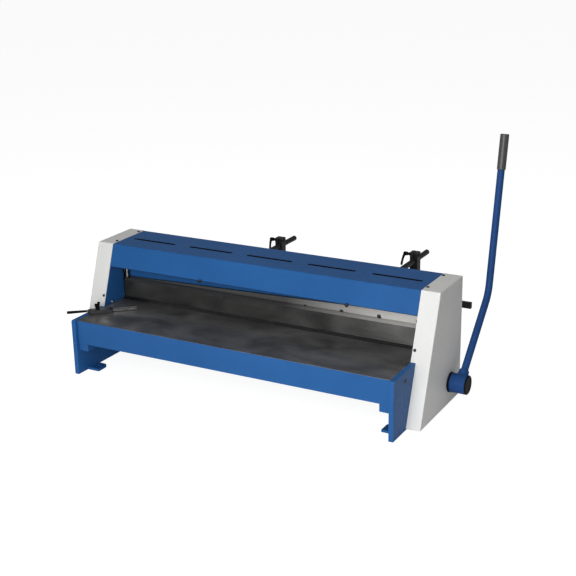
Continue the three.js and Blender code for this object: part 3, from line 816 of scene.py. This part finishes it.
# ---- Lever ------------------------------------------------------------------------------------
hub = bmesh.new()
turned(hub, [
    (SHAFT_BORE, 1), (18.3, 0), (27, 0), (HUB_RADIUS, 1.5), (HUB_RADIUS, 45.5), (27, 47), (18.3, 47),
    (SHAFT_BORE, 46)], (HUB_START, *SHAFT), (1, 0, 0), 64)
turned(hub, [
    (0, 20), (SOCKET_RADIUS, 20), (SOCKET_RADIUS, SOCKET_END - 1.6),
    (SOCKET_RADIUS - 1.6, SOCKET_END), (0, SOCKET_END)], HUB_CENTRE, LOWER_RUN, 48)
piece("hub", hub, "dark_blue_paint", "lever_hub")

across = LOWER_RUN.cross(Vector((1, 0, 0)))
saddle = []
for i in range(72):
    angle = 2 * math.pi * i / 72
    sideways = SOCKET_RADIUS * math.sin(angle)
    saddle.append(
        HUB_CENTRE + LOWER_RUN * math.sqrt(HUB_RADIUS ** 2 - sideways ** 2) + across * sideways
        + Vector((SOCKET_RADIUS * math.cos(angle), 0, 0)))
bead = swept(bmesh.new(), saddle, lambda share: 2.6 + 0.3 * math.sin(36 * math.pi * share), 12, True)
piece("hub_weld", bead, "dark_blue_paint", body="drive", smooth=60)

trim = 31
bend_start = LEVER_BEND - LOWER_RUN * trim
bend_end = LEVER_BEND + UPPER_RUN * trim
tube_route = [HUB_CENTRE + LOWER_RUN * (SOCKET_END + GAP)]
for i in range(21):
    t = i / 20
    tube_route.append(
        bend_start * (1 - t) ** 2 + LEVER_BEND * 2 * t * (1 - t) + bend_end * t ** 2)
tube_route.append(LEVER_TOP - UPPER_RUN * 3.3)
piece("tube", swept(bmesh.new(), tube_route, TUBE_RADIUS, 48), "dark_blue_paint", "lever_tube")
collar = [
    HUB_CENTRE + LOWER_RUN * (SOCKET_END + 0.4)
    + (across * math.sin(a) + Vector((1, 0, 0)) * math.cos(a)) * (TUBE_RADIUS + 0.9)
    for a in (2 * math.pi * i / 60 for i in range(60))]
bead = swept(bmesh.new(), collar, lambda share: 2.1 + 0.25 * math.sin(28 * math.pi * share), 12, True)
piece("tube_weld", bead, "dark_blue_paint", body="drive", smooth=60)

grip_profile = [(0, 3), (11.2, 3), (11.2, GRIP), (12.4, GRIP), (13, GRIP - 0.8), (13, GRIP - 5),
                (12.6, GRIP - 5.6), (12.6, GRIP - 6.6), (13, GRIP - 7.2), (13, 3)]
grip_profile += [
    (10 + 3 * math.cos(a), 3 - 3 * math.sin(a))
    for a in (math.pi / 2 * i / 6 for i in range(1, 7))]
grip_profile += [(2.6, 0), (2.2, 0.5), (0, 0.6)]
grip = turned(bmesh.new(), grip_profile, LEVER_TOP, -UPPER_RUN, 56)
piece("grip", grip, "grip_rubber", "lever_grip")

spacer = turned(bmesh.new(), [
    (SHAFT_BORE, 0), (29.2, 0), (30, 0.8), (30, 4.2), (29.2, 5), (SHAFT_BORE, 5)],
    (588.6, *SHAFT), (1, 0, 0), 64)
piece("spacer", spacer, "black_plastic", "hub_spacer")
cap_profile = [(0, 0), (28.7, 0), (28.7, 0.9)]
cap_profile += [
    (26 + 2.7 * math.cos(a), 0.9 + 2.7 * math.sin(a))
    for a in (math.pi / 2 * i / 6 for i in range(1, 7))]
cap_profile += [(20, 3.7), (19.2, 3.2), (4, 3.3), (0, 3.3)]
cap = turned(bmesh.new(), cap_profile, (641.3, *SHAFT), (1, 0, 0), 64)
piece("end_cap", cap, "black_plastic", "hub_end_cap")


# ---- Covers and hood --------------------------------------------------------------------------
def cover_outline(inset):
    lean = inset * math.hypot(1, SLANT)
    low, high = COVER_BOTTOM + inset, COVER_TOP - inset
    return [(slant_y(low) + lean, low), (COVER_REAR - inset, low), (COVER_REAR - inset, high),
            (slant_y(high) + lean, high)]


def folded_box(inset, bend, inner, outer):
    """A closed block with its folds rounded, and its inner end left square."""
    block = extruded(bmesh.new(), [cover_outline(inset)], along_x, inner, outer)
    return soften(joined_flats(block), bend, 5, 20,
                  lambda edge: any(abs(v.co.x - inner) > 1 for v in edge.verts))


for label, side in SIDES:
    shell = folded_box(0, BEND, side * COVER_INNER, side * COVER_OUTER)
    hollow = folded_box(SHEET, BEND - SHEET, side * (HALF_WIDTH - 5), side * (COVER_OUTER - SHEET))
    beside_plate = box(
        bmesh.new(), sorted((side * (HALF_WIDTH - 5), side * (PLATE_OUTER + GAP))),
        (-10, PLATE_REAR + GAP), (-10, PLATE_FRONT_TOP + GAP))
    tools = [hollow, beside_plate]
    if side > 0:
        tools.append(turned(
            bmesh.new(), [(0, 0), (20, 0), (20, 12), (0, 12)], (COVER_OUTER - 6, *SHAFT),
            (1, 0, 0), 48))
    piece(f"cover_{label}", carved(shell, *tools), "grey_paint", f"side_cover_{label}")
    screw_z = 212
    screw_x = side * 537
    socket_screw(f"cover_screw_front_{label}", (screw_x, slant_y(screw_z), screw_z), SLANT_NORMAL,
                 4.6, 2.6)
    for i, y in enumerate((247, 365)):
        socket_screw(f"cover_screw_top_{label}_{i}", (screw_x, y, COVER_TOP), (0, 0, 1), 4.8, 2.6)
    for i, z in enumerate((120, 300)):
        socket_screw(f"cover_screw_rear_{label}_{i}", (side * 552, COVER_REAR, z), (0, 1, 0), 4.6,
                     2.6)


def inner_line(points, thickness):
    """The same line on the sheet's other side."""
    made = []
    for i, point in enumerate(points):
        near = [points[max(i - 1, 0)], point, points[min(i + 1, len(points) - 1)]]
        runs = [Vector(q) - Vector(p) for p, q in zip(near, near[1:]) if p != q]
        normals = [Vector((run.y, -run.x)).normalized() for run in runs]
        mitre = (normals[0] + normals[-1]).normalized()
        reach = thickness / mitre.dot(normals[0])
        made.append((point[0] + mitre.x * reach, point[1] + mitre.y * reach))
    return made


hood_line = [
    (slant_y(HOOD_BOTTOM) + HOOD_LIP, HOOD_BOTTOM), (slant_y(HOOD_BOTTOM), HOOD_BOTTOM),
    (slant_y(HOOD_TOP), HOOD_TOP), (HOOD_REAR, HOOD_TOP), (HOOD_REAR, HOOD_TOP - HOOD_REAR_DROP)]
inside_line = inner_line(hood_line, SHEET)
outer_bends = (0, BEND, BEND, BEND, 0)
inner_bends = (0, *[BEND - SHEET] * 3, 0)
hood_section = rounded(
    [(*p, r) for p, r in zip(hood_line, outer_bends)]
    + [(*p, r) for p, r in reversed(list(zip(inside_line, inner_bends)))], 0)
hood_end = HALF_WIDTH - GAP
slots = []
for i in range(-2, 3):
    left = SLOT_PITCH * i - SLOT_HALF_LENGTH
    right = SLOT_PITCH * i + SLOT_HALF_LENGTH
    slot = rounded([(left, SLOT_Y[0]), (right, SLOT_Y[0]), (right, SLOT_Y[1]), (left, SLOT_Y[1])],
                   SLOT_CORNER)
    slots.append(extruded(bmesh.new(), [slot], along_z, HOOD_TOP - 8, HOOD_TOP + 8))
hood = joined_flats(extruded(bmesh.new(), [hood_section], along_x, -hood_end, hood_end))


def shaded_inside_hood(centre):
    """Whether a face is further in than the hood's outer skin."""
    skin = 0.9
    return (centre.z < HOOD_TOP - skin and centre.y < HOOD_REAR - skin
            and centre.y > slant_y(centre.z) + skin)


# Faces inside the hood get blackened steel as painted shade, so that the slots look dark.
piece("hood_sheet", carved(hood, *slots), "blue_paint", "hood", smooth=30,
      also=(("black_steel", shaded_inside_hood),))
for label, x in (("left", -188), ("right", 312)):
    z = HOOD_BOTTOM + 0.5
    bolt = turned(bmesh.new(), [
        (0, 0.3), (6.3, 0.3), (6.3, 1.5), (5.6, 3.2), (4.2, 4.3), (2.5, 4.3, "hex"),
        (2.5, 1.6, "hex"), (0, 1.4)], (x, slant_y(z), z), SLANT_NORMAL, 30)
    piece(f"hood_bolt_head_{label}", bolt, "black_steel", f"hood_bolt_{label}", smooth=30)

# ---- Back gauge -------------------------------------------------------------------------------
stop_bottom, stop_middle, stop_top = STOP_Z
stop_holes = [circle(side * ROD_X, stop_middle, 5.4, 24) for label, side in SIDES]
stop_outline = [(-STOP_HALF, stop_bottom), (STOP_HALF, stop_bottom), (STOP_HALF, stop_top),
                (-STOP_HALF, stop_top)]
stop = extruded(bmesh.new(), [stop_outline, *stop_holes], along_y, STOP_FRONT,
                STOP_FRONT + STOP_THICK)
piece("stop", soften(joined_flats(stop), 1.0), "black_steel", "stop_bar")

# The clamp levers' bent arms, as (X from the post's face, drop) and the arm's radius there.
CLAMP_ARM = ((-18, 0), (-23, 3), (-26, 9), (-27.6, 18), (-28.4, 27), (-29, 35), (-29.2, 39),
             (-29.3, 41))
CLAMP_ARM_RADII = (5.0, 4.9, 4.3, 3.8, 3.7, 3.9, 3.6, 1.4)
CLAMP_LEANS = (0, 0.36)
for (label, side), lean in zip(SIDES, CLAMP_LEANS):
    x = side * ROD_X
    start = BEAM_REAR + GAP
    length = ROD_END - start
    rod = turned(bmesh.new(), [
        (0, 0), (ROD_RADIUS, 0), (ROD_RADIUS, length - 1.5), (ROD_RADIUS - 1.5, length),
        (0, length)], (x, start, rod_z(x)), (0, 1, 0))
    piece(f"rod_{label}", rod, "black_steel", f"gauge_rod_{label}")
    nut = hexagon(bmesh.new(), (x, start, rod_z(x)), (0, 1, 0), 14, 9, washer=1.6,
                  bore=ROD_RADIUS + 0.1)
    piece(f"rod_nut_{label}", nut, "black_steel", body="beam")
    bracket = soften(refined(f"gauge_bracket_{label}"), 1.0)
    piece(f"bracket_{label}", bracket, "black_steel", f"gauge_bracket_{label}")
    recessed_screw(f"stop_screw_{label}", (x, STOP_FRONT + 0.5, stop_middle), (0, -1, 0), 5.1, 11,
                   "back_gauge")

    face = x - POST_HALF - GAP
    clamp_z = rod_z(x) + CLAMP_ABOVE_ROD
    clamp = turned(bmesh.new(), [
        (0, 0), (5.6, 0), (5.6, 7), (4.6, 8), (4.6, 11), (6.5, 13.5), (6.5, 24), (5.6, 26),
        (3.6, 26.2), (3.4, 27.8), (0, 28)], (face, POST_Y, clamp_z), (-1, 0, 0), 32)
    arm_route = [
        Vector((face + dx, POST_Y - drop * math.sin(lean), clamp_z - drop * math.cos(lean)))
        for dx, drop in CLAMP_ARM]
    swept(clamp, arm_route,
          lambda share: CLAMP_ARM_RADII[round(share * (len(CLAMP_ARM_RADII) - 1))], 16)
    piece(f"clamp_{label}", clamp, "black_plastic", f"clamp_lever_{label}", smooth=50)
    end = turned(bmesh.new(), [
        (0, 0), (5, 0), (5, 3.6), (4.4, 4.2), (2.2, 4.2, "hex"), (2.2, 2.2, "hex"), (0, 2)],
        (x + POST_HALF, POST_Y, clamp_z), (1, 0, 0), 24)
    piece(f"clamp_screw_{label}", end, "black_steel", body="back_gauge")


# ---- Angle gauge ------------------------------------------------------------------------------
def on_gauge(bm):
    """Carries a shape from the gauge's own axes to its pivot on the table."""
    place = Matrix.Translation((*GAUGE_PIVOT, 0)) @ Matrix.Rotation(GAUGE_ANGLE, 4, "Z")
    bmesh.ops.transform(bm, matrix=place, verts=bm.verts)
    return bm


GAUGE_BOTTOM = TABLE_TOP + 1.4
GAUGE_TOP = TABLE_TOP + 12
stud = turned(bmesh.new(), [
    (0, 0.3), (11, 0.3), (11, 0.8), (10.7, 1.1), (4, 1.1), (4, 19), (3.2, 20), (0, 20)],
    (*GAUGE_PIVOT, TABLE_TOP), (0, 0, 1))
piece("gauge_stud", stud, "bright_steel", "angle_gauge_stud")
body_outline = rounded([(-32, -9), (-20, -15), (46, -15), (46, 9), (-20, 9), (-32, 4)], 3)
head = extruded(bmesh.new(), [body_outline, circle(0, 0, 4.4, 24)], along_z, GAUGE_BOTTOM, GAUGE_TOP)
piece("gauge_head", on_gauge(soften(joined_flats(head), 0.8)), "black_steel", "angle_gauge_body")
bar_section = [(-5, GAUGE_BOTTOM), (4, GAUGE_BOTTOM), (4, TABLE_TOP + 14), (-5, TABLE_TOP + 14),
               (-5, TABLE_TOP + 10.6), (-3.4, TABLE_TOP + 9.8), (-3.4, TABLE_TOP + 6.2),
               (-5, TABLE_TOP + 5.4)]
bar = extruded(bmesh.new(), [bar_section], along_x, 46.3, 123.3)
piece("gauge_bar", on_gauge(soften(bar, 0.4, 2, 30)), "bar_steel", "angle_gauge_bar")
handle_z = TABLE_TOP + 8
handle = turned(bmesh.new(), [
    (0, 0), (3.4, 0), (3.4, 3), (3.7, 4.5), (3.8, 12), (4.2, 36), (4.6, 56), (4.6, 61), (3.4, 63.4),
    (0, 64)], (-32.3, 0, handle_z), (-1, 0, 0), 28)
piece("gauge_handle", on_gauge(handle), "black_plastic", "angle_gauge_handle")

knob = turned(bmesh.new(), [
    (0, 9.4), (4.4, 9.2), (4.4, 0.3), (6.6, 0.3), (7, 0.7), (7, 8.5), (6.4, 11), (5, 12.6),
    (0, 13)], (0, 0, GAUGE_TOP), (0, 0, 1), 32)
for turn in (-1, 1):
    wing = rounded([
        (turn * 2.5, GAUGE_TOP + 6), (turn * 8, GAUGE_TOP + 8), (turn * 12, GAUGE_TOP + 13),
        (turn * 12, GAUGE_TOP + 21), (turn * 7, GAUGE_TOP + 21), (turn * 2.5, GAUGE_TOP + 15)],
        1.8)
    extruded(knob, [wing], along_y, -3.4, 3.4)
soften(knob, 0.7, 2, 50)
knob_rest = math.pi / 3
bmesh.ops.rotate(knob, matrix=Matrix.Rotation(knob_rest, 3, "Z"), verts=knob.verts)
piece("gauge_knob", on_gauge(knob), "black_plastic", "angle_gauge_knob")


# ---- Floor, light and camera ------------------------------------------------------------------
def floor():
    """A matt white floor that is mostly its own white to the camera, so that shadows are faint."""
    radius = 40
    white = 1.35
    share_of_white = 0.66
    bm = bmesh.new()
    bmesh.ops.create_circle(bm, cap_ends=True, radius=radius, segments=64)
    mesh = bpy.data.meshes.new("floor")
    bm.to_mesh(mesh)
    bm.free()
    made = bpy.data.objects.new("floor", mesh)
    bpy.context.scene.collection.objects.link(made)
    material = surface("pale_floor", lambda tree: {
        "Base Color": ramp(tree, pattern(tree, 2, detail=2), (0.3, (0.86,) * 3), (0.7, (0.88,) * 3)),
    }, Roughness=0.9)
    mesh.materials.append(material)
    tree = material.node_tree
    glow = tree.nodes.new("ShaderNodeEmission")
    glow.inputs["Strength"].default_value = white
    share = tree.nodes.new("ShaderNodeMath")
    share.operation = "MULTIPLY"
    share.inputs[1].default_value = share_of_white
    rays = tree.nodes.new("ShaderNodeLightPath")
    mix = tree.nodes.new("ShaderNodeMixShader")
    tree.links.new(rays.outputs["Is Camera Ray"], share.inputs[0])
    tree.links.new(share.outputs["Value"], mix.inputs[0])
    tree.links.new(tree.nodes["Principled BSDF"].outputs["BSDF"], mix.inputs[1])
    tree.links.new(glow.outputs["Emission"], mix.inputs[2])
    tree.links.new(mix.outputs["Shader"], tree.nodes["Material Output"].inputs["Surface"])


def softbox(name, place, target, width, height, power):
    data = bpy.data.lights.new(name, "AREA")
    data.shape = "RECTANGLE"
    data.size = width
    data.size_y = height
    data.energy = power
    made = bpy.data.objects.new(name, data)
    made.location = place
    made.rotation_mode = "QUATERNION"
    made.rotation_quaternion = (Vector(target) - Vector(place)).to_track_quat("-Z", "Y")
    bpy.context.scene.collection.objects.link(made)


def world():
    """Pale grey for the camera, and a softer white for the light that it gives."""
    made = bpy.data.worlds.new("studio")
    bpy.context.scene.world = made
    made.use_nodes = True
    tree = made.node_tree
    seen = tree.nodes.new("ShaderNodeBackground")
    seen.inputs["Strength"].default_value = 1.0
    given = tree.nodes["Background"]
    given.inputs["Color"].default_value = (1, 1, 1, 1)
    given.inputs["Strength"].default_value = 0.22
    rays = tree.nodes.new("ShaderNodeLightPath")
    mix = tree.nodes.new("ShaderNodeMixShader")
    tree.links.new(rays.outputs["Is Camera Ray"], mix.inputs["Fac"])
    tree.links.new(given.outputs["Background"], mix.inputs[1])
    tree.links.new(seen.outputs["Background"], mix.inputs[2])
    tree.links.new(mix.outputs["Shader"], tree.nodes["World Output"].inputs["Surface"])


def camera():
    data = bpy.data.cameras.new("camera")
    data.sensor_width = 36
    data.lens = 72.97
    right = Vector((0.87702, 0.48017, -0.01661)).normalized()
    ahead = Vector((-0.45979, 0.82876, -0.31898)).normalized()
    up = right.cross(ahead).normalized()
    made = bpy.data.objects.new("camera", data)
    made.matrix_world = Matrix.Translation((1.66927, -3.1142, 1.4175)) @ Matrix(
        (right, up, -ahead)).transposed().to_4x4()
    bpy.context.scene.collection.objects.link(made)
    bpy.context.scene.camera = made


floor()
world()
camera()
softbox("key", (0.75, -3.0, 1.5), (0.2, 0, 0.25), 1.3, 1.6, 56)
softbox("low", (0.5, -2.7, 0.4), (0, 0, 0.25), 1.8, 0.6, 23)
softbox("top", (0.2, -1.0, 3.6), (0, 0, 0.2), 3.0, 2.0, 45)
bpy.context.scene.view_settings.view_transform = "Standard"
